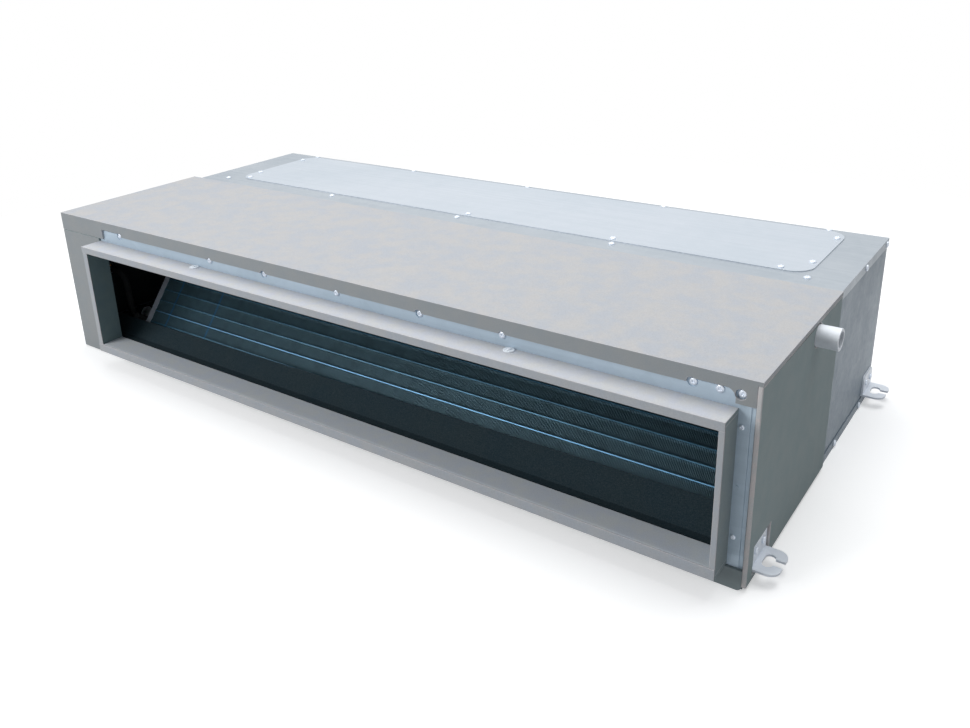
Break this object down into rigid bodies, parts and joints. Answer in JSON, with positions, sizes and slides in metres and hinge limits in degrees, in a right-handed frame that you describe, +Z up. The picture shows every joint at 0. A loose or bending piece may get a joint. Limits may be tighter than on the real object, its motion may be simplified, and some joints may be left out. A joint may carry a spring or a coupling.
{
  "type": "ducted air conditioner indoor unit",
  "caption": "Slim ceiling-concealed ducted air conditioner indoor unit with foam-wrapped coil section, outlet collar, open hanging hooks and pumped drain spout.",
  "frame": {"origin": "middle of the underside, at the centre of the overall length and width", "axes": "+X to the right as seen from the outlet, +Y from the outlet to the return-air side, +Z up"},
  "size_m": [1.188, 0.568, 0.235],
  "materials": {
    "galvanised": "galvanised sheet with a soft spangle",
    "galvanised_cover": "bright galvanised sheet",
    "dark_cover": "dark grey coated sheet",
    "grey_foam": "closed-cell foam with a matte skin",
    "dark_foam": "black closed-cell foam",
    "zinc": "bright zinc plating",
    "fin_blue": "blue coated aluminium fins",
    "copper": "drawn copper tube",
    "brass": "turned brass",
    "pan_black": "moulded foam with a black skin",
    "white_plastic": "white moulded plastic",
    "hose_grey": "soft grey hose",
    "black_rubber": "moulded rubber",
    "black_plastic": "black moulded plastic",
    "filter_net": "woven nylon net",
    "motor_steel": "pressed steel",
    "board_green": "green circuit board"
  },
  "bodies": {
    "casing": {"bottom_cover": "dark_cover", "bottom_panel": "galvanised", "cable_grommets": "black_rubber", "chamber_lining": "dark_foam", "coil_end_plate_left": "zinc", "coil_end_plate_right": "zinc", "coil_fins": "fin_blue", "coil_tubes": "copper", "collar_inner_lining": "dark_foam", "collar_insulation": "grey_foam", "collar_plugs": "white_plastic", "collar_sill": "grey_foam", "control_board": "board_green", "drain_hose": "hose_grey", "drain_pan": "pan_black", "drain_plug": "black_rubber", "drain_pump_housing": "black_plastic", "drain_spout": "white_plastic", "electrical_box": "galvanised", "fan_access_cover": "galvanised_cover", "fan_deck": "galvanised", "filter_rails": "galvanised", "flare_unions": "brass", "float_switch": "black_plastic", "front_panel": "galvanised", "gas_pipe": "copper", "gravity_drain": "white_plastic", "left_hanging_hooks": "zinc", "left_scroll_lower": "black_plastic", "left_scroll_upper": "black_plastic", "left_side_insulation": "grey_foam", "left_side_panel": "galvanised", "liquid_pipe": "copper", "motor_bracket": "galvanised", "motor_housing": "motor_steel", "motor_rubber_rings": "black_rubber", "motor_stator": "motor_steel", "motor_straps": "galvanised", "outlet_collar": "galvanised", "pan_head_screws": "zinc", "pump_bracket": "galvanised", "rear_panel": "galvanised", "right_hanging_hooks": "zinc", "right_scroll_lower": "black_plastic", "right_scroll_upper": "black_plastic", "right_side_insulation": "grey_foam", "right_side_panel": "galvanised", "terminal_block": "black_plastic", "top_insulation": "grey_foam", "top_panel": "galvanised", "wiring_cover": "galvanised"},
    "fan_rotor": {"motor_rotor": "motor_steel", "left_blower_wheel": "black_plastic", "right_blower_wheel": "black_plastic"},
    "pump_rotor": {"pump_impeller": "black_plastic"},
    "float": {"drain_float": "black_plastic"},
    "left_filter": {"left_filter_frame": "black_plastic", "left_filter_mesh": "filter_net"},
    "right_filter": {"right_filter_frame": "black_plastic", "right_filter_mesh": "filter_net"}
  },
  "joints": [
    {"name": "fan_spin", "type": "hinge", "parent": "casing", "child": "fan_rotor", "pos_m": [0.031, 0.14, 0.107], "axis": [1, 0, 0], "continuous": true},
    {"name": "pump_spin", "type": "hinge", "parent": "casing", "child": "pump_rotor", "pos_m": [0.539, -0.012, 0.06], "axis": [0, 0, 1], "continuous": true},
    {"name": "float_rise", "type": "slide", "parent": "casing", "child": "float", "axis": [0, 0, 1], "range_m": [0, 0.014]},
    {"name": "left_filter_slide", "type": "slide", "parent": "casing", "child": "left_filter", "axis": [-1, 0, 0], "range_m": [0, 0.5]},
    {"name": "right_filter_slide", "type": "slide", "parent": "casing", "child": "right_filter", "axis": [1, 0, 0], "range_m": [0, 0.5]}
  ]
}
